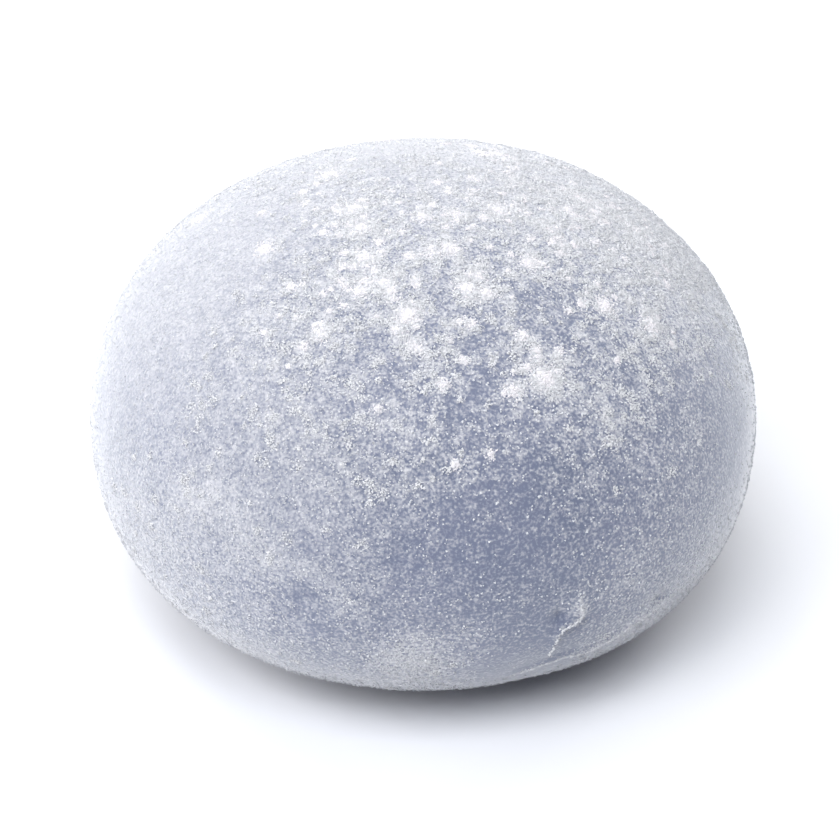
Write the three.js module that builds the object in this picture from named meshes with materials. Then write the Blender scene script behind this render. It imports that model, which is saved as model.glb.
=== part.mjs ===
// A mochi rice cake: one soft ball of rice dough, shut all round, that its own weight has settled into a low dome.
// Millimetres, +Z up. It stands on z = 0, its front faces -Y, and the middle of its plan is at x = 0, y = 0.
import * as THREE from "three";

// Driving dimensions.
const WIDTH = 50; // left to right, at the belly
const HEIGHT = 32.8;
const BELLY_HEIGHT = 14.8; // height at which the dough is widest
const PRESSED_DEPTH = 1.4; // how far the underside would bulge below the table, had the table not pressed it flat

// How full each curve is: 2 is a plain ellipse, and more is squarer.
const CROWN_FULLNESS = 2.04;
const UNDERSIDE_FULLNESS = 2.37;

// The hand-rolled ball isn't quite round in plan: waves round it, each a share of the radius with a crest at an angle.
const PLAN_WAVES = [
  { count: 2, share: 0.003, crestDeg: 5 },
  { count: 3, share: 0.0023, crestDeg: 60 },
  { count: 4, share: 0.0075, crestDeg: 46 },
];
const CROWN_LEAN = new THREE.Vector2(-0.15, 0.1); // how far the crown sits off the middle of the foot

// Shallow hollows that fingers left: where each lies, by its angle in plan and its height, then its size.
const FINGER_HOLLOWS = [
  { azimuthDeg: -86, height: 11, reach: 5, depth: 0.3 },
  { azimuthDeg: -70, height: 6, reach: 3, depth: 0.25 },
  { azimuthDeg: -105, height: 23, reach: 6, depth: 0.2 },
  { azimuthDeg: 35, height: 20, reach: 8, depth: 0.25 },
  { azimuthDeg: 125, height: 17, reach: 7, depth: 0.25 },
];

// How finely the faces follow the form.
const SEGMENTS = 96;
const CROWN_RINGS = 22;
const UNDERSIDE_RINGS = 16;

const UP = new THREE.Vector3(0, 0, 1);
const RADIUS = WIDTH / 2;
const CROWN_RISE = HEIGHT - BELLY_HEIGHT;
const UNDERSIDE_DROP = BELLY_HEIGHT + PRESSED_DEPTH;

// A point of the quarter curve from the belly, at 0, to the end of its rise on the axis, at 1.
function quarterPoint(share, rise, fullness) {
  const angle = (share * Math.PI) / 2;
  const out = RADIUS * Math.cos(angle) ** (2 / fullness);
  const up = rise * Math.sin(angle) ** (2 / fullness);
  return new THREE.Vector2(share === 1 ? 0 : out, up);
}

// The share of the underside's quarter curve at which it meets the table.
function shareAtTable() {
  const sine = (BELLY_HEIGHT / UNDERSIDE_DROP) ** (UNDERSIDE_FULLNESS / 2);
  return Math.asin(sine) / (Math.PI / 2);
}

// The outline from the middle of the foot, out along the table, round the belly and up to the crown.
function sideProfile() {
  const profile = [new THREE.Vector2(0, 0)];
  const lowest = shareAtTable();
  for (let ring = UNDERSIDE_RINGS; ring > 0; ring--) {
    const share = (lowest * ring) / UNDERSIDE_RINGS;
    const point = quarterPoint(share, -UNDERSIDE_DROP, UNDERSIDE_FULLNESS);
    const height = ring === UNDERSIDE_RINGS ? 0 : BELLY_HEIGHT + point.y;
    profile.push(new THREE.Vector2(point.x, height));
  }
  for (let ring = 0; ring <= CROWN_RINGS; ring++) {
    const point = quarterPoint(ring / CROWN_RINGS, CROWN_RISE, CROWN_FULLNESS);
    profile.push(new THREE.Vector2(point.x, BELLY_HEIGHT + point.y));
  }
  return profile;
}

function planShare(azimuth) {
  let share = 1;
  for (const wave of PLAN_WAVES) {
    const crest = THREE.MathUtils.degToRad(wave.crestDeg);
    share += wave.share * Math.cos(wave.count * (azimuth - crest));
  }
  return share;
}

// How far the dough reaches from its axis at a height.
function reachAt(height) {
  const rise = height - BELLY_HEIGHT;
  const [whole, fullness] = rise > 0 ? [CROWN_RISE, CROWN_FULLNESS] : [-UNDERSIDE_DROP, UNDERSIDE_FULLNESS];
  return RADIUS * (1 - (rise / whole) ** fullness) ** (1 / fullness);
}

// How deep the finger hollows press in at a point.
function hollowDepth(point) {
  let depth = 0;
  for (const hollow of FINGER_HOLLOWS) {
    const azimuth = THREE.MathUtils.degToRad(hollow.azimuthDeg);
    const middle = new THREE.Vector3(reachAt(hollow.height), 0, hollow.height);
    middle.applyAxisAngle(UP, azimuth);
    depth += hollow.depth * Math.exp(-((point.distanceTo(middle) / hollow.reach) ** 2));
  }
  return depth;
}

// Moves the round form's points to the uneven one. The foot stays flat on the table.
function settle(geometry) {
  const places = geometry.attributes.position;
  const point = new THREE.Vector3();
  const middle = new THREE.Vector3(0, 0, BELLY_HEIGHT);
  for (let i = 0; i < places.count; i++) {
    point.fromBufferAttribute(places, i);
    const share = planShare(Math.atan2(point.y, point.x));
    point.x *= share;
    point.y *= share;
    if (point.z > 0) {
      const inward = middle.clone().sub(point).normalize();
      point.addScaledVector(inward, hollowDepth(point));
      point.x += (CROWN_LEAN.x * point.z) / HEIGHT;
      point.y += (CROWN_LEAN.y * point.z) / HEIGHT;
    }
    places.setXYZ(i, point.x, point.y, point.z);
  }
}

// Brings the plan to its true width and its middle to the origin.
function fitToWidth(geometry) {
  geometry.computeBoundingBox();
  const box = geometry.boundingBox;
  const toWidth = WIDTH / (box.max.x - box.min.x);
  const centre = box.getCenter(new THREE.Vector3());
  geometry.translate(-centre.x, -centre.y, 0);
  geometry.scale(toWidth, toWidth, 1);
}

function riceDough() {
  const geometry = new THREE.LatheGeometry(sideProfile(), SEGMENTS);
  geometry.rotateX(Math.PI / 2);
  settle(geometry);
  fitToWidth(geometry);
  geometry.computeVertexNormals();
  const material = new THREE.MeshStandardMaterial({ color: 0xaeb2c6, roughness: 0.85, metalness: 0 });
  const mesh = new THREE.Mesh(geometry, material);
  mesh.name = "mochi";
  return mesh;
}

const cake = new THREE.Group();
cake.add(riceDough());

export default cake;
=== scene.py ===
"""A mochi rice cake: a ball of soft rice dough that has settled on the table, rolled in starch powder."""

import math

import bpy
import numpy as np
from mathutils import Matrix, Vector, noise


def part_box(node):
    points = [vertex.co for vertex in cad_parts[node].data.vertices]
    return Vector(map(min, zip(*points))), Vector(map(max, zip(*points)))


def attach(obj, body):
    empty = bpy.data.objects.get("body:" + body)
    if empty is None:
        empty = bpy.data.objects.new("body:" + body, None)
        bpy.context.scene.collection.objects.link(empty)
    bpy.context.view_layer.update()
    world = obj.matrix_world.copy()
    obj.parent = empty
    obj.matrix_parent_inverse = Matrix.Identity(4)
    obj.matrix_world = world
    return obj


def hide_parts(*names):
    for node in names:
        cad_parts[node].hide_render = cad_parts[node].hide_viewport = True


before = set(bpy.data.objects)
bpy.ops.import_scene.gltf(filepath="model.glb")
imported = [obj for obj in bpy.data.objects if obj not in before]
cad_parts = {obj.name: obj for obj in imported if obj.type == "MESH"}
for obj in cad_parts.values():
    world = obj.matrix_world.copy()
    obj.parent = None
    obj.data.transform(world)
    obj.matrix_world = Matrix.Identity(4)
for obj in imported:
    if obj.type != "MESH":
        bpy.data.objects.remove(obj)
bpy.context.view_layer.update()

MM = 0.001

# The cake's form. All sizes are in millimetres, and they are the same as those of its solid.
low, high = (np.array(corner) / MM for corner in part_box("mochi"))
RADIUS = (high[0] - low[0]) / 2
HEIGHT = high[2] - low[2]
BELLY_HEIGHT = 14.8
PRESSED_DEPTH = 1.4  # how far the underside would bulge below the table, if it weren't pressed flat
CROWN_FULLNESS = 2.04  # 2 is a plain ellipse, and more is squarer
UNDERSIDE_FULLNESS = 2.37
PLAN_WAVES = (  # count round the plan, height as a share of the radius, turn of a crest
    (2, 0.003, 5),
    (3, 0.0023, 60),
    (4, 0.0075, 46),
)
CROWN_LEAN = (-0.15, 0.1)  # how far the crown's top stands to the right of the foot's middle, and behind it
MM_PER_RADIAN = 22.5  # how far a radian of turn or rise reaches over the dough, about

# Places on the cake are a turn and a rise, in degrees. The turn runs round the plan from +X, with the
# front at -90. The rise runs up the side by its length, from -90 in the middle of the foot to 90 on the
# crown, and 0 is just above the belly.
FINGER_HOLLOWS = (  # turn, height above the table, reach, depth
    (-86, 11, 5, 0.30),
    (-70, 6, 3, 0.25),
    (-105, 23, 6, 0.20),
    (35, 20, 8, 0.25),
    (125, 17, 7, 0.25),
)
SWELL = 0.09  # how far the finished dough stands out from the bare form
SWELLINGS = (  # size across, height, seed: the unevenness of soft dough
    (11, 0.05, 1),
    (4.5, 0.05, 2),
    (1.5, 0.022, 3),
)
MARKS = (  # turn, rise, reach, height: small dents and swellings in the dough
    (-67.4, -5.8, 0.55, -0.40),  # a round dimple
    (-64.3, -4.5, 0.7, 0.16),
    (-47, -11, 0.9, -0.14),
    (-86, 9, 2.2, -0.07),
    (-110, 0, 1.8, -0.06),
    (-57, 4, 2.0, -0.06),
    (-93, 37, 2.4, -0.08),
    (-71, -4, 1.6, -0.08),
    (-47.5, -11.5, 0.6, -0.12),
    (-52.5, -13, 0.8, 0.12),
)
DIMPLE_CREASE = (  # turn and rise of each point
    (-64.1, -4.1), (-63.4, -6.3), (-64.5, -7.9), (-66.6, -8.8), (-67.5, -10.4), (-67.8, -13.7), (-68.4, -17),
)
LOW_FOLD = (
    (-74, -25), (-68.9, -21.3), (-65, -18.8), (-60.8, -19.5), (-56.4, -17.2), (-51, -14.6), (-45, -13.3),
)
CROWN_STREAK = ((-90, 48.5), (-85.5, 49.5), (-81, 50))
CREASES = (  # points, width, height: thin folds that stand up from the dough
    (DIMPLE_CREASE, 0.3, 0.22),
    (LOW_FOLD, 0.4, 0.18),
    (CROWN_STREAK, 0.4, 0.03),
)
FOOT_BLEND = 2.5  # up to this height the relief fades away towards the foot
GRID_STEPS = 128  # squares along each side of the dough's six patches


# Form

def on_ball(turn, rise):
    """Unit directions for turns and rises in degrees."""
    turn, rise = np.radians(turn), np.radians(rise)
    return np.stack([np.cos(turn) * np.cos(rise), np.sin(turn) * np.cos(rise), np.sin(rise)], -1)


def quarter_curve(share, rise, fullness):
    """How far out and up the side lies, from the belly at share 0 to the axis at share 1."""
    angle = share * math.pi / 2
    return RADIUS * np.cos(angle).clip(0) ** (2 / fullness), rise * np.sin(angle) ** (2 / fullness)


def side_curve(steps=3000):
    """How far out and up the side lies from the foot's middle to the crown, and the rise there in degrees."""
    drop = BELLY_HEIGHT + PRESSED_DEPTH
    at_table = math.asin((BELLY_HEIGHT / drop) ** (UNDERSIDE_FULLNESS / 2)) / (math.pi / 2)
    under = quarter_curve(np.linspace(at_table, 0, steps), -drop, UNDERSIDE_FULLNESS)
    crown = quarter_curve(np.linspace(0, 1, steps), HEIGHT - BELLY_HEIGHT, CROWN_FULLNESS)
    out = np.concatenate([[0], under[0], crown[0][1:]])
    up = np.concatenate([[0], BELLY_HEIGHT + under[1], BELLY_HEIGHT + crown[1][1:]])
    length = np.concatenate([[0], np.cumsum(np.hypot(np.diff(out), np.diff(up)))])
    return out, up.clip(0), 180 * length / length[-1] - 90


SIDE = side_curve()


def bare_form(directions):
    """The cake's smooth form with its finger hollows."""
    out_at, up_at, rise_at = SIDE
    turn = np.arctan2(directions[..., 1], directions[..., 0])
    rise = np.degrees(np.arcsin(directions[..., 2].clip(-1, 1)))
    out = np.interp(rise, rise_at, out_at)
    up = np.interp(rise, rise_at, up_at)
    for count, share, crest in PLAN_WAVES:
        out = out * (1 + share * np.cos(count * (turn - math.radians(crest))))
    points = np.stack([out * np.cos(turn), out * np.sin(turn), up], -1)
    inward = np.array([0, 0, BELLY_HEIGHT]) - points
    inward /= np.linalg.norm(inward, axis=-1, keepdims=True)
    pressed = sum(depth * near(points, side_spot(t, h), reach) for t, h, reach, depth in FINGER_HOLLOWS)
    lifted = (up > 1e-6)[..., None]
    points = points + lifted * inward * pressed[..., None]
    points[..., :2] += lifted * np.array(CROWN_LEAN) * points[..., 2:] / HEIGHT
    return points


def side_spot(turn, height):
    """The point on the side at this turn and height above the table."""
    out_at, up_at, _ = SIDE
    out = np.interp(height, up_at, out_at)
    return np.array([out * math.cos(math.radians(turn)), out * math.sin(math.radians(turn)), height])


def near(points, spot, reach):
    """1 at the spot, falling smoothly to 0 beyond its reach."""
    return np.exp(-((np.linalg.norm(points - spot, axis=-1) / reach) ** 2))


def beside(points, places, width):
    """1 on the path through the places, falling smoothly to 0 beyond its width and towards its two ends."""
    path = [spot_at(*place) for place in places]
    nearest = np.full(points.shape[:-1], np.inf)
    where = np.zeros(points.shape[:-1])
    for i, (a, b) in enumerate(zip(path[:-1], path[1:])):
        along = ((points - a) @ (b - a) / ((b - a) @ (b - a))).clip(0, 1)
        away = np.linalg.norm(points - (a + along[..., None] * (b - a)), axis=-1)
        where = np.where(away < nearest, (i + along) / (len(path) - 1), where)
        nearest = np.minimum(nearest, away)
    return np.exp(-((nearest / width) ** 2)) * np.sin(math.pi * (0.08 + 0.84 * where)) ** 0.5


def outward(directions):
    """The way the bare form faces."""
    step = 2e-3
    sideways = np.cross(directions, np.where(np.abs(directions[..., 2:]) < 0.9, [0.0, 0, 1], [1.0, 0, 0]))
    sideways /= np.linalg.norm(sideways, axis=-1, keepdims=True)
    upwards = np.cross(sideways, directions)
    ahead = bare_form(unit(directions + step * sideways)) - bare_form(unit(directions - step * sideways))
    above = bare_form(unit(directions + step * upwards)) - bare_form(unit(directions - step * upwards))
    facing = unit(np.cross(ahead, above))
    return facing * np.sign((facing * directions).sum(-1, keepdims=True))


def smooth(share):
    """0 up to 0, 1 from 1 on, and smooth between."""
    share = share.clip(0, 1)
    return share * share * (3 - 2 * share)


def unit(vectors):
    return vectors / np.linalg.norm(vectors, axis=-1, keepdims=True).clip(1e-12)


def waver(points, size, seed, octaves=2):
    """Smooth noise, about -1 to 1, with swellings of the given size."""
    shift = Vector((seed * 17.3, seed * 5.1, seed * 9.7))
    flat = (points.reshape(-1, 3) / size).tolist()
    found = [noise.fractal(Vector(p) + shift, 1.0, 2.0, octaves) for p in flat]
    return np.array(found).reshape(points.shape[:-1])


def relief(points):
    """How far the dough stands out from its bare form."""
    lift = SWELL
    for size, height, seed in SWELLINGS:
        lift = lift + height * waver(points, size, seed)
    for turn, rise, reach, height in MARKS:
        lift = lift + height * near(points, spot_at(turn, rise), reach)
    for places, width, height in CREASES:
        lift = lift + height * beside(points, places, width)
    return lift * (points[..., 2] / FOOT_BLEND).clip(0, 1)


def spot_at(turn, rise):
    """The point on the bare form at this turn and rise."""
    return bare_form(on_ball(turn, rise))


def dough_surface(directions):
    """Points on the finished dough."""
    bare = bare_form(directions)
    return bare + outward(directions) * relief(bare)[..., None]


def ball_patches():
    """Six square grids of directions that together cover the ball."""
    line = np.tan(np.linspace(-1, 1, GRID_STEPS + 1) * math.pi / 4)
    across, along = np.meshgrid(line, line, indexing="ij")
    patches = []
    for axis in range(3):
        for side in (-1, 1):
            parts = [None] * 3
            parts[axis] = np.full_like(across, side)
            parts[(axis + 1) % 3] = across * side
            parts[(axis + 2) % 3] = along
            patches.append(unit(np.stack(parts, -1)))
    return patches


def solid(name, points, faces, rounded):
    """A mesh piece. Its faces are shaded as one round skin if it is rounded, and flat if it isn't."""
    mesh = bpy.data.meshes.new(name)
    mesh.from_pydata(points * MM, [], faces)
    mesh.polygons.foreach_set("use_smooth", np.full(len(faces), rounded))
    piece = bpy.data.objects.new(name, mesh)
    bpy.context.collection.objects.link(piece)
    return piece


def lay_flat(piece, corners):
    """Lays the piece's faces out flat, one pair of numbers for each corner of each face."""
    layer = piece.data.uv_layers.new(name="OFBake")
    layer.uv.foreach_set("vector", corners.astype(np.float32).ravel())


# Starch cover, with some painted light and shade

STARCH_AND_PAINTED_LIGHT_PATCHES = (  # turn, rise, reach, how much more or less starch lies there; a few patches are painted light and shade instead of starch
    (90, 62, 18, 0.22),
    (12, 56, 7, 0.18),
    # painted light: this patch brightens the upper right flank
    (9, 36, 6, 0.20),
    (-52, 30, 2, 0.20),
    (-30, 30, 5, -0.08),
    (-150, -2, 7, 0.10),
    (-144, 1, 2.5, 0.12),
    (-92, 69, 2.5, 0.08),
    (-125, 40, 9, 0.08),
    (-118, 22, 8, 0.06),
    (-168, 30, 8, 0.15),
    (-165, 58, 8, 0.06),
    (-125, 28, 4, -0.05),
    (-102, -8, 3, -0.12),
    (-77, 41, 2.2, -0.20),
    (-76, 24, 2.2, -0.12),
    # painted shade: this patch darkens the front of the foot by the table
    (-72.5, -19.5, 3.5, -0.42),
    (-76, 14, 3, -0.10),
    (-135, -2, 6, 0.10),
    (-132, 11, 2.4, 0.22),
    (-127, 15, 2, 0.10),
    (-121.5, 10.5, 2, 0.20),
    (-115.5, 6, 1.5, 0.24),
    (-110, 6, 1.1, 0.18),
    (-103.3, 0, 1.4, 0.24),
    (-109.8, 9.2, 0.8, -0.2),
    (-90.6, -14.5, 2, 0.14),
    (-81, -13, 2, 0.06),
    (-94, -16, 4, 0.14),
    (-61, 41, 3, 0.10),
    (-55, 1, 2.5, 0.14),
    (-26, 39, 5, 0.06),
    (-64.3, -4.2, 0.8, 0.5),
    # painted shade: this patch darkens the round dimple
    (-67.6, -6.0, 0.6, -0.28),
    (-93, -19, 3, 0.20),
    # painted shade: this patch darkens the foot by the table
    (-107, -19, 3, -0.12),
    (-60, -24, 2.5, 0.12),
    (-50, -19, 2.5, 0.14),
    (-41, -18, 2.5, 0.12),
    (-46, 54, 6, -0.09),
    (-70, 34, 8, -0.12),
    (-37, 52, 2.5, -0.10),
    # painted shade: this patch darkens the right limb against the sheen's glancing light
    (-22, 7, 5, -0.22),
    (-18, 22, 5, -0.08),
    (-100, 48, 3.5, -0.06),
    (-110.3, -0.3, 1.4, -0.26),
    (-104, 10, 3, 0.08),
    (-86, 9, 7, -0.14),
    (-66, 8, 8, -0.14),
    (-68, -12, 6, -0.10),
    (-68, -26, 4, -0.10),
    (-44, 6, 5, -0.08),
)
CLUMPS = (  # turn, rise, spread, pile height
    (-95, 57.5, 0.95, 0.42),
    (-98, 54.5, 0.55, 0.22),
    (-93, 51, 0.45, 0.22),
    (-71, 63.5, 1.0, 0.26),
    (-65, 61.5, 0.75, 0.34),
    (-61, 41, 1.15, 0.40),
    (-69, 40, 0.7, 0.20),
    (-26, 39, 1.0, 0.22),
    (-71, 74.5, 1.0, 0.24),
    (-4, 75, 1.1, 0.22),
    (-31, 83, 0.8, 0.18),
    (-91, 85.5, 0.8, 0.16),
    (-176, 76.5, 1.2, 0.24),
    (-148, 76, 0.8, 0.18),
    (-124, 70, 0.9, 0.22),
    (-115, 62, 0.7, 0.22),
    (-107, 65, 0.8, 0.20),
    (-64, 66, 0.6, 0.20),
    (-38, 64, 1.0, 0.18),
    (-61, 50.5, 0.6, 0.20),
    (-78, 56, 0.4, 0.18),
    (-32, 48, 0.9, 0.16),
    (10, 46, 0.9, 0.18),
    (19, 56, 0.9, 0.18),
    (-165, 58, 0.8, 0.10),
    (-120, 51, 0.8, 0.14),
    (-85, 43, 0.5, 0.16),
    (-100, 38, 0.4, 0.16),
    (-84, 27.5, 0.42, 0.24),
    (-77, 29, 0.35, 0.14),
    (60, 60, 1.1, 0.30),
    (100, 48, 0.9, 0.26),
    (140, 66, 1.0, 0.26),
    (160, 40, 0.8, 0.24),
    (75, 32, 0.7, 0.22),
    (25, 30, 0.7, 0.20),
)
EVEN_FILM = (  # turn, rise, reach, how even and fine the starch lies there
    (95, 48, 16, 1.0),
    (-176, 42, 8, 1.0),
    (-168, 16, 12, 1.0),
    (-22, 12, 6, 0.5),
    (-124, 24, 8, 0.55),
    (-105, 8, 6, 0.35),
)
FLANK_COVER = 0.33  # the share of the dough that starch hides on the sides
CROWN_COVER = 0.15  # what the crown has on top of that
FOOT_COVER = 0.04  # how much more cover, so paler dough, the edge near the table has on top of that
CREASE_COVER = 0.3  # what the creases have on top of that
THINNEST, THICKEST = 0.03, 0.97  # no place is quite bare, and none is quite hidden


def evenness(points):
    """How even and fine the starch lies, from 0 to 1."""
    films = (share * near(points, spot_at(turn, rise), reach) for turn, rise, reach, share in EVEN_FILM)
    return sum(films).clip(0, 1)


def starch_and_painted_light(points):
    """The share of the dough that starch hides at each point, from 0 to 1, with painted light and shade from
    a few patches added in.
    """
    height = points[..., 2] / HEIGHT
    crown = smooth(2.1 * height - 0.95)
    cover = FLANK_COVER + CROWN_COVER * crown + FOOT_COVER * smooth(1.6 - 6 * height)
    for turn, rise, reach, more in STARCH_AND_PAINTED_LIGHT_PATCHES:
        cover = cover + more * near(points, spot_at(turn, rise), reach)
    uneven = 1 - 0.7 * evenness(points)
    drifts, patches = waver(points, 4, 11, 3), waver(points, 2.2, 13)
    cover = cover * (1 + 0.16 * uneven * drifts) + 0.07 * uneven * patches
    flakes = smooth(0.3 + 2.0 * waver(points, 0.85, 12, 3)) - 0.4
    cover = cover + (0.07 + 0.33 * crown) * uneven * flakes
    for turn, rise, spread, pile in CLUMPS:
        away = np.linalg.norm(points - spot_at(turn, rise), axis=-1) / spread
        core, skirt = np.exp(-away ** 2), np.exp(-away ** 2 / 4)
        cover = cover + (0.9 * pile + 0.1) * core + 0.3 * pile * skirt
    for places, width, _ in CREASES:
        cover = cover + CREASE_COVER * beside(points, places, 0.8 * width)
    return cover.clip(THINNEST, THICKEST)


# Pieces

FINE_GRAINS = 46000
MIDDLING_GRAINS = 20000
FLAKES = 1900
SMALL_HEAPS = 300
GRAINS_PER_CREASE_POINT = 18
GRAIN_RADII = (0.08, 0.12)  # the smallest and the largest, here and below
FLAKE_GRAIN_RADII = (0.07, 0.11)
CRUMB_RADII = (0.06, 0.11)
FLAKE_SPREADS = (0.09, 0.26)
SMALL_HEAP_RADII = (0.12, 0.36)
SMALL_HEAP_HEIGHTS = (0.02, 0.06)
CREASE_SPREAD = 0.04
HEAP_RINGS, HEAP_SIDES = 5, 16
EDGE_SUNK, UNDERSIDE_SUNK = 0.03, 0.08  # how far a heap's edge and its underside's middle are in the dough
FINENESS = 0.35  # how much smaller and fewer the grains are where the starch lies quite even
LOWEST_PLACE = 0.25  # no grain is strewn lower than this
ABOVE_TABLE = 0.01  # and none reaches lower than this


class Skin:
    """The dough's own grid: each corner's direction and point, the faces, and how starch lies on it, with
    some painted light and shade in its cover.
    """

    def __init__(self, directions, faces):
        bare = bare_form(directions)
        self.directions, self.faces = directions, faces
        self.points = dough_surface(directions)
        self.cover, self.evenness = starch_and_painted_light(bare), evenness(bare)
        self.coarseness = 1 - FINENESS * self.evenness

    def scatter(self, weight, count, rng):
        """Draws places by weight and by area: directions, points on the dough, and the way it faces there."""
        a, b, c, d = (self.points[self.faces[:, i]] for i in range(4))
        normal = np.cross(c - a, d - b)
        area = np.linalg.norm(normal, axis=1)
        share = area * weight[self.faces].mean(1) * (a[:, 2] > LOWEST_PLACE)
        chosen = rng.choice(len(self.faces), count, p=share / share.sum())
        u, v = rng.uniform(0, 1, (2, count, 1))
        spots = []
        for values in (self.directions, self.points):
            a, b, c, d = (values[self.faces[chosen, i]] for i in range(4))
            spots.append((a * (1 - u) + b * u) * (1 - v) + (d * (1 - u) + c * u) * v)
        return unit(spots[0]), spots[1], unit(normal[chosen])


def make_dough():
    """The dough as one closed skin, and its grid for the starch to be strewn on."""
    size = GRID_STEPS + 1
    grid = np.arange(size * size).reshape(size, size)
    squares = np.stack([grid[:-1, :-1], grid[1:, :-1], grid[1:, 1:], grid[:-1, 1:]], -1).reshape(-1, 4)
    every = np.concatenate([patch.reshape(-1, 3) for patch in ball_patches()])
    _, first, shared = np.unique(every.round(9), axis=0, return_index=True, return_inverse=True)
    faces = np.concatenate([squares + i * size * size for i in range(6)])
    skin = Skin(every[first], shared.reshape(-1)[faces])
    piece = solid("dough", skin.points, skin.faces, True)
    # The patches are laid flat as six squares, three across and two up, with a gap between them.
    cell = np.linspace(0, 1, size)
    across, along = np.meshgrid(cell, cell, indexing="ij")
    flat = np.stack([across.ravel(), along.ravel()], -1)[squares]
    corners = np.array([(i % 3, i // 3) for i in range(6)])
    lay_flat(piece, np.concatenate([(corner + 0.01 + 0.98 * flat) / (3, 2) for corner in corners]))
    for name, values in (("starch_and_painted_light", skin.cover), ("starch_evenness", skin.evenness)):
        layer = piece.data.attributes.new(name, "FLOAT", "POINT")
        layer.data.foreach_set("value", values.astype(np.float32))
    return piece, skin


def any_turns(count, rng):
    """Rotation matrices drawn evenly."""
    w, x, y, z = unit(rng.normal(size=(count, 4))).T
    return np.stack([
        1 - 2 * (y * y + z * z), 2 * (x * y - z * w), 2 * (x * z + y * w),
        2 * (x * y + z * w), 1 - 2 * (x * x + z * z), 2 * (y * z - x * w),
        2 * (x * z - y * w), 2 * (y * z + x * w), 1 - 2 * (x * x + y * y),
    ], -1).reshape(-1, 3, 3)


def four_sided():
    """A grain's points on a ball of radius 1, and its faces."""
    points = np.array([(1, 1, 1), (-1, -1, 1), (-1, 1, -1), (1, -1, -1)]) / math.sqrt(3)
    return points, np.array([(0, 2, 1), (0, 1, 3), (0, 3, 2), (1, 2, 3)])


def eight_sided():
    """A rounder grain's points and faces."""
    points = np.array([(1, 0, 0), (0, 1, 0), (-1, 0, 0), (0, -1, 0), (0, 0, 1), (0, 0, -1)], float)
    ring = ((0, 1), (1, 2), (2, 3), (3, 0))
    return points, np.array([(a, b, 4) for a, b in ring] + [(b, a, 5) for a, b in ring])


def grains(name, shape, spots, radii, rng, facing=None, flatness=1.0):
    """One mesh of separate closed grains, each turned, stretched and dented its own way."""
    template, cut = shape
    count = len(spots)
    bodies = template[None] * (1 + 0.3 * rng.uniform(-1, 1, (count, len(template), 1)))
    bodies = bodies * (1 + 0.35 * rng.uniform(-1, 1, (count, 1, 3)))
    bodies = np.einsum("nij,nkj->nki", any_turns(count, rng), bodies)
    if facing is not None:  # flattened against the dough
        along = (bodies * facing[:, None]).sum(-1, keepdims=True)
        bodies = bodies - (1 - flatness) * along * facing[:, None]
    points = (spots[:, None] + bodies * radii[:, None, None]).reshape(-1, 3)
    points[:, 2] = points[:, 2].clip(ABOVE_TABLE)
    piece = solid(name, points, repeated(cut, count, len(template)), len(template) > 4)
    # The faces of a grain lie over each other.
    one_face = np.array([(0.15, 0.15), (0.85, 0.15), (0.5, 0.85)])
    lay_in_cells(piece, count, np.broadcast_to(one_face, (len(cut), 3, 2)))
    return piece


def repeated(cut, count, points_each):
    """The faces of so many like bodies that follow each other."""
    return (cut[None] + points_each * np.arange(count)[:, None, None]).reshape(-1, 3)


def lay_in_cells(piece, count, corners):
    """Lays each of the piece's bodies flat in a small square of its own, by its corners in that square."""
    across = math.ceil(math.sqrt(count))
    cell = np.stack([np.arange(count) % across, np.arange(count) // across], -1)
    lay_flat(piece, (cell[:, None, None] + corners) / across)


def step_aside(ways, across, along):
    """The directions that lie so far across and along from the given ones."""
    side = unit(np.cross(ways, np.where(np.abs(ways[..., 2:]) < 0.9, [0.0, 0, 1], [1.0, 0, 0])))
    other = np.cross(ways, side)
    return unit(ways + (side * across[..., None] + other * along[..., None]) / MM_PER_RADIAN)


def make_fine_grains(skin, rng):
    """Single grains nearly all over the dough."""
    _, spots, facing = skin.scatter(skin.cover ** 1.3 * skin.coarseness, FINE_GRAINS, rng)
    radii = rng.uniform(*GRAIN_RADII, FINE_GRAINS) * (1 - FINENESS * evenness(spots))
    return grains("starch_fine", four_sided(), spots + facing * radii[:, None] * 0.2, radii, rng)


def make_middling_grains(skin, rng):
    """Rounder, pressed grains where the starch lies thick."""
    _, spots, facing = skin.scatter(skin.cover ** 3.2 * skin.coarseness, MIDDLING_GRAINS, rng)
    radii = rng.uniform(*GRAIN_RADII, MIDDLING_GRAINS) * (1 - FINENESS * evenness(spots))
    spots = spots + facing * radii[:, None] * 0.1
    return grains("starch_middling", eight_sided(), spots, radii, rng, facing, 0.6)


def make_flakes(skin, rng):
    """Grains that cling together in small loose flakes, most of them on the crown."""
    upper = smooth(skin.points[:, 2] / HEIGHT * 2.5 - 1.1)
    flakes, _, _ = skin.scatter(skin.cover ** 3.5 * (0.2 + upper) * (1 - skin.evenness), FLAKES, rng)
    spread = rng.uniform(*FLAKE_SPREADS, FLAKES)
    owner = np.repeat(np.arange(FLAKES), (6 + 105 * spread).astype(int))
    ways = step_aside(flakes[owner], *rng.normal(size=(2, len(owner))) * spread[owner])
    ways = np.concatenate([ways, *(along_crease(places, rng) for places, _, _ in CREASES)])
    facing = outward(ways)
    radii = rng.uniform(*FLAKE_GRAIN_RADII, len(ways))
    spots = dough_surface(ways) + facing * radii[:, None] * rng.uniform(0.1, 0.8, (len(ways), 1))
    return grains("starch_flakes", four_sided(), spots, radii, rng)


def along_crease(places, rng):
    """Directions close to a crease, where starch gathers in a thin line."""
    count = GRAINS_PER_CREASE_POINT * len(places)
    where = rng.uniform(0, len(places) - 1, count)
    turns, rises = (np.interp(where, np.arange(len(places)), values) for values in zip(*places))
    return step_aside(on_ball(turns, rises), *rng.normal(size=(2, count)) * CREASE_SPREAD)


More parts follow.
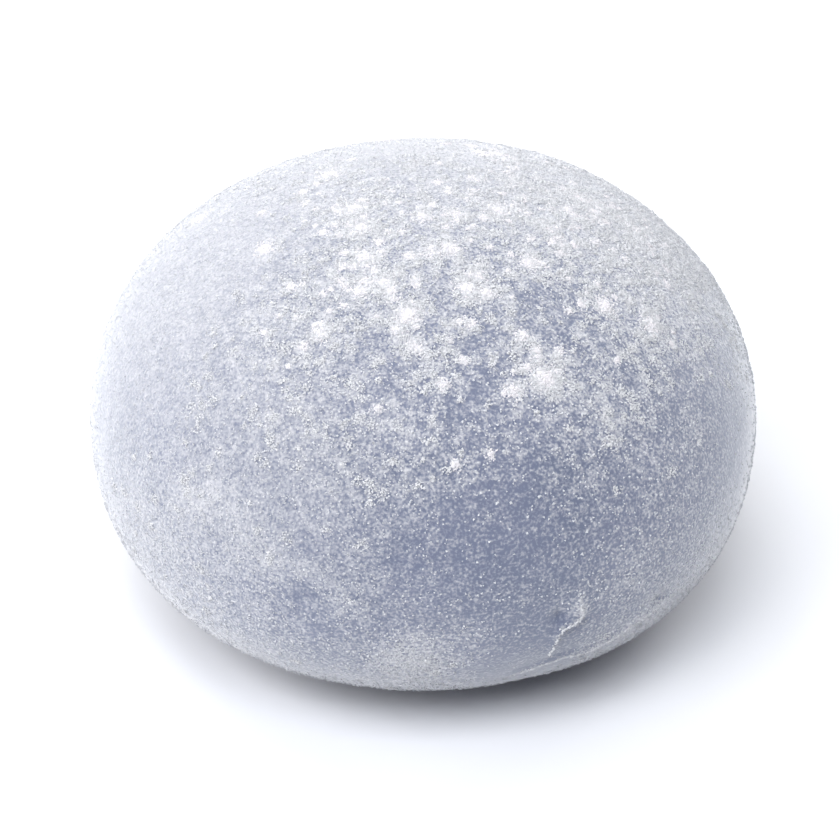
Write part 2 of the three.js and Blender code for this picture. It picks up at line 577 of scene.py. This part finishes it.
def lay_out_heaps(skin, rng):
    """Where the heaps of caked starch lie, with their radii and heights: the clumps and many small heaps."""
    high_up = smooth(skin.points[:, 2] / HEIGHT * 4.5 - 3.4)
    small, _, _ = skin.scatter(skin.cover ** 6 * high_up * (1 - skin.evenness), SMALL_HEAPS, rng)
    turns, rises, spreads, piles = np.array(CLUMPS).T
    radii = [0.75 * spreads, rng.uniform(*SMALL_HEAP_RADII, SMALL_HEAPS)]
    heights = [0.4 * piles, rng.uniform(*SMALL_HEAP_HEIGHTS, SMALL_HEAPS)]
    return np.concatenate([on_ball(turns, rises), small]), np.concatenate(radii), np.concatenate(heights)


def heap_points(heaps, turn, out):
    """Each heap's top, the middle of its underside, and then its rings from the top to a ragged edge."""
    ways, radii, heights = heaps
    rim = step_aside(ways[:, None], radii[:, None] * np.cos(turn), radii[:, None] * np.sin(turn))
    reach = radii[:, None] * (1 + 0.45 * waver(bare_form(rim), 0.4, 21, 3))
    far = reach[:, None] * out[:, None]
    spots = step_aside(ways[:, None, None], far * np.cos(turn), far * np.sin(turn))
    rings = dough_surface(spots)
    lift = heights[:, None, None] * (1 - out[:, None] ** 2) ** 1.5 * (1 + 0.4 * waver(rings, 0.4, 22, 2))
    lift = lift - EDGE_SUNK * (out[:, None] == 1)
    rings = rings + outward(spots) * lift[..., None]
    middle, facing = dough_surface(ways), outward(ways)
    top = middle + facing * heights[:, None]
    under = middle - facing * UNDERSIDE_SUNK
    return np.concatenate([top[:, None], under[:, None], rings.reshape(len(ways), -1, 3)], 1)


def heap_faces():
    """The faces of one heap: a fan round its top, bands between its rings, and a fan round its underside."""
    ring = np.arange(HEAP_SIDES)
    after = (ring + 1) % HEAP_SIDES
    top, under = np.zeros_like(ring), np.ones_like(ring)
    starts = [2 + i * HEAP_SIDES for i in range(HEAP_RINGS)]
    cut = [np.stack([top, starts[0] + ring, starts[0] + after], -1)]
    for inner, outer in zip(starts[:-1], starts[1:]):
        cut.append(np.stack([inner + ring, outer + ring, outer + after], -1))
        cut.append(np.stack([inner + ring, outer + after, inner + after], -1))
    cut.append(np.stack([under, starts[-1] + after, starts[-1] + ring], -1))
    return np.concatenate(cut)


def make_heaps(heaps):
    """Low heaps of caked starch with ragged edges, each closed by an underside just inside the dough."""
    count = len(heaps[0])
    turn = np.linspace(0, 2 * math.pi, HEAP_SIDES, endpoint=False)
    out = np.linspace(0, 1, HEAP_RINGS + 1)[1:]
    points = heap_points(heaps, turn, out)
    cut = heap_faces()
    piece = solid("starch_heaps", points.reshape(-1, 3), repeated(cut, count, points.shape[1]), True)
    across, along = (np.concatenate([[0, 0], np.outer(out, way(turn)).ravel()]) for way in (np.cos, np.sin))
    lay_in_cells(piece, count, (0.5 + 0.45 * np.stack([across, along], -1))[cut])
    return piece


def make_crumbs(heaps, rng):
    """Crumbs of starch on the heaps and strewn round them."""
    ways, radii, heights = heaps
    owner = np.repeat(np.arange(len(ways)), (8 + 380 * radii ** 1.6).astype(int))
    ways, radii, heights = ways[owner], radii[owner], heights[owner]
    across, along = rng.normal(size=(2, len(owner))) * radii * 0.68
    spots = step_aside(ways, across, along)
    far = np.hypot(across, along) / radii
    lift = heights * (1 - far ** 2).clip(0) ** 1.5 * rng.uniform(0.7, 1.1, len(owner))
    crumb_radii = rng.uniform(*CRUMB_RADII, len(owner))
    facing = outward(spots)
    points = dough_surface(spots) + facing * lift[:, None]
    return grains("starch_crumbs", eight_sided(), points, crumb_radii, rng, facing, 0.7)


# Finishes

COLOUR_FROM, COLOUR_TO, COLOUR_OUT = 6, 7, 2  # the colour sockets of a Mix node


class Amount:
    """A number that varies over a surface. Arithmetic on it adds the nodes that work it out."""

    def __init__(self, finish, socket):
        self.finish, self.socket = finish, socket

    def __add__(self, other):
        return self.finish.worked_out("ADD", self, other)

    def __sub__(self, other):
        return self.finish.worked_out("SUBTRACT", self, other)

    def __rsub__(self, other):
        return self.finish.worked_out("SUBTRACT", other, self)

    def __mul__(self, other):
        return self.finish.worked_out("MULTIPLY", self, other)

    __radd__, __rmul__ = __add__, __mul__


class Finish:
    """A material and the nodes that make its looks."""

    def __init__(self, name):
        self.material = bpy.data.materials.new(name)
        self.material.use_nodes = True
        self.tree = self.material.node_tree
        self.tree.nodes.clear()

    def node(self, kind, settings, inputs, output=0):
        """Adds a node with its settings, then its sockets' values or links. Returns its output, if any."""
        node = self.tree.nodes.new("ShaderNode" + kind)
        for name, value in settings.items():
            setattr(node, name, value)
        for name, value in inputs.items():
            if isinstance(value, Amount):
                self.tree.links.new(value.socket, node.inputs[name])
            else:
                node.inputs[name].default_value = value
        return Amount(self, node.outputs[output]) if node.outputs else None

    def worked_out(self, operation, *values):
        """Arithmetic on amounts and numbers."""
        return self.node("Math", {"operation": operation}, dict(enumerate(values)))

    def between(self, low, high, amount):
        """0 below low, 1 above high, and smooth between."""
        settings = {"interpolation_type": "SMOOTHSTEP"}
        return self.node("MapRange", settings, {"Value": amount, "From Min": low, "From Max": high})

    def blend(self, share, first, second):
        """The first colour turning into the second."""
        colours = {0: share, COLOUR_FROM: first, COLOUR_TO: second}
        return self.node("Mix", {"data_type": "RGBA"}, colours, COLOUR_OUT)

    def grit(self, place, size, detail=2.0):
        """Soft noise from 0 to 1, with features of the given size."""
        scale = 1 / (size * MM)
        return self.node("TexNoise", {}, {"Vector": place, "Scale": scale, "Detail": detail})

    def surface(self, looks, height=None, depth=0.0):
        """Ends the material in a shader with these looks, and a bump of the given depth."""
        if height is not None:
            bump = self.node("Bump", {}, {"Height": height, "Distance": depth * MM})
            looks = {**looks, "Normal": bump}
        shader = self.node("BsdfPrincipled", {}, looks)
        self.node("OutputMaterial", {}, {"Surface": shader})
        return self.material


def dusted_dough():
    """Bluish translucent dough under a film of powder that thins to separate specks."""
    finish = Finish("dusted_dough")
    place = finish.node("TexCoord", {}, {}, "Object")
    # the cover holds starch and, from a few patches, painted light and shade; more cover makes the dough
    # paler
    cover = finish.node("Attribute", {"attribute_name": "starch_and_painted_light"}, {}, "Fac")
    specks = finish.grit(place, 0.21, 1.0) - 0.5
    flecks = finish.grit(place, 0.6, 3.0) - 0.5
    coarseness = 1 - 0.5 * finish.node("Attribute", {"attribute_name": "starch_evenness"}, {}, "Fac")
    powder = finish.between(-0.15, 1.15, cover * 0.86 + (specks * 1.7 + flecks * 0.6) * coarseness)
    tint = finish.between(0.3, 0.7, finish.grit(place, 7.0, 2.0))
    bare = finish.blend(tint, (0.138, 0.162, 0.244, 1), (0.165, 0.187, 0.274, 1))
    colour = finish.blend(powder, bare, (0.675, 0.669, 0.692, 1))
    skin = finish.grit(place, 0.5, 4.0)
    return finish.surface({
        "Base Color": colour,
        "Roughness": powder * 0.3 + 0.62,
        "Diffuse Roughness": 0.8,
        "Specular IOR Level": 0.25,
        "Subsurface Weight": 0.12,
        "Subsurface Radius": (1.0, 0.9, 1.0),
        "Subsurface Scale": 1.2 * MM,
        "Sheen Weight": 1.0,
        "Sheen Roughness": 0.45,
    }, powder * 0.6 + skin * 0.5, 0.06)


def starch(name, pale, shade):
    """Dry starch that turns between two colours from grain to grain."""
    finish = Finish(name)
    place = finish.node("TexCoord", {}, {}, "Object")
    tint = finish.between(0.3, 0.7, finish.grit(place, 0.2, 3.0))
    colour = finish.blend(tint, shade, pale)
    return finish.surface({
        "Base Color": colour,
        "Roughness": 0.9,
        "Diffuse Roughness": 0.6,
        "Specular IOR Level": 0.2,
        "Sheen Weight": 0.4,
        "Sheen Roughness": 0.5,
    }, finish.grit(place, 0.16, 4.0), 0.09)


NEAR_TABLE, FAR_TABLE = 120, 400  # between these distances from the cake the table top turns white


def pale_table():
    """A pale table top that turns to plain white away from the cake."""
    finish = Finish("pale_table")
    place = finish.node("TexCoord", {}, {}, "Object")
    colour = finish.blend(finish.grit(place, 40.0), (0.85, 0.855, 0.88, 1), (0.87, 0.875, 0.90, 1))
    away = finish.node("VectorMath", {"operation": "LENGTH"}, {0: place}, "Value")
    far = finish.between(NEAR_TABLE * MM, FAR_TABLE * MM, away)
    return finish.surface({
        "Base Color": colour,
        "Roughness": 0.8,
        "Specular IOR Level": 0.1,
        "Emission Color": finish.blend(far, (0, 0, 0, 1), (1, 1, 1, 1)),
        "Emission Strength": 1.0,
    })


# Studio

TABLE_SIDE = 3000
LAMP_DISTANCE, LAMP_SIZE = 700, 350
COOL = (0.91, 0.95, 1.0)
WHITE = (1.0, 1.0, 1.0)
SOFT_LIGHTS = (  # name, turn, rise, power in watts, colour
    ("window", 180, 35, 1.5, WHITE),
    ("window_front", -135, 45, 2.4, WHITE),
    ("window_front_low", -135, 22, 0.6, WHITE),
    ("window_back", 135, 55, 1.55, WHITE),
    ("back_wall", 90, 60, 1.2, WHITE),
    ("back_right", 45, 40, 1.4, WHITE),
    ("right", 0, 45, 0.8, WHITE),
    ("front", -90, 60, 2.7, COOL),
)
CAMERA_RISE = 35  # in degrees above the table
CAMERA_DISTANCE = 275.0
CAMERA_AIM = (-0.35, -2.22)  # across and up from the middle of the cake
SCALE = 13.306  # how large a millimetre of the cake appears, on a frame that is FRAME_SIDE across
FRAME_SIDE = 840


def table():
    """A large flat table top under the cake."""
    corners = np.array([(-1, -1, 0), (1, -1, 0), (1, 1, 0), (-1, 1, 0)]) * TABLE_SIDE / 2
    top = solid("table", corners, [(0, 1, 2, 3)], False)
    top.data.materials.append(pale_table())


def soft_light(name, turn, rise, power, colour):
    """A square lamp that faces the cake."""
    lamp = bpy.data.lights.new(name, "AREA")
    lamp.size, lamp.energy, lamp.color = LAMP_SIZE * MM, power, colour
    light = bpy.data.objects.new(name, lamp)
    away = Vector(on_ball(turn, rise))
    light.location = away * LAMP_DISTANCE * MM + Vector((0, 0, 0.5 * HEIGHT * MM))
    light.rotation_euler = away.to_track_quat("Z", "Y").to_euler()
    bpy.context.collection.objects.link(light)


def studio():
    """Soft lamps all round, and a white room that is seen but doesn't light the cake."""
    for light in SOFT_LIGHTS:
        soft_light(*light)
    world = bpy.data.worlds.new("room")
    world.use_nodes = True
    backdrop = world.node_tree.nodes["Background"]
    seen = world.node_tree.nodes.new("ShaderNodeLightPath")
    world.node_tree.links.new(seen.outputs["Is Camera Ray"], backdrop.inputs["Strength"])
    backdrop.inputs["Color"].default_value = (1, 1, 1, 1)
    bpy.context.scene.world = world
    bpy.context.scene.view_settings.view_transform = "Standard"


def stand_camera():
    """Looks down at the front of the cake from a little way off."""
    rise = math.radians(CAMERA_RISE)
    back = Vector((0, -math.cos(rise), math.sin(rise)))
    up = Vector((0, math.sin(rise), math.cos(rise)))
    across_aim, up_aim = CAMERA_AIM
    aim = Vector((across_aim, 0, HEIGHT / 2)) + up_aim * up
    lens = bpy.data.cameras.new("camera")
    lens.sensor_width = 36
    lens.lens = SCALE * CAMERA_DISTANCE * lens.sensor_width / FRAME_SIDE
    lens.clip_start, lens.clip_end = 0.01, 20
    camera = bpy.data.objects.new("camera", lens)
    camera.location = (aim + back * CAMERA_DISTANCE) * MM
    camera.rotation_euler = back.to_track_quat("Z", "Y").to_euler()
    bpy.context.collection.objects.link(camera)
    bpy.context.scene.camera = camera


# The cake on its table

rng = np.random.default_rng(7)
dough, skin = make_dough()
dough.data.materials.append(dusted_dough())
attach(dough, "root")
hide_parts("mochi")

thin_look = starch("thin_powder", (0.71, 0.715, 0.745, 1), (0.54, 0.55, 0.59, 1))
powder_look = starch("starch_powder", (0.80, 0.80, 0.82, 1), (0.62, 0.625, 0.65, 1))
caked_look = starch("caked_starch", (0.86, 0.825, 0.85, 1), (0.71, 0.70, 0.73, 1))
heaps = lay_out_heaps(skin, rng)
for piece, look in (
    (make_fine_grains(skin, rng), thin_look),
    (make_middling_grains(skin, rng), thin_look),
    (make_flakes(skin, rng), powder_look),
    (make_heaps(heaps), caked_look),
    (make_crumbs(heaps, rng), caked_look),
):
    piece.data.materials.append(look)
    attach(piece, "root")

table()
studio()
stand_camera()
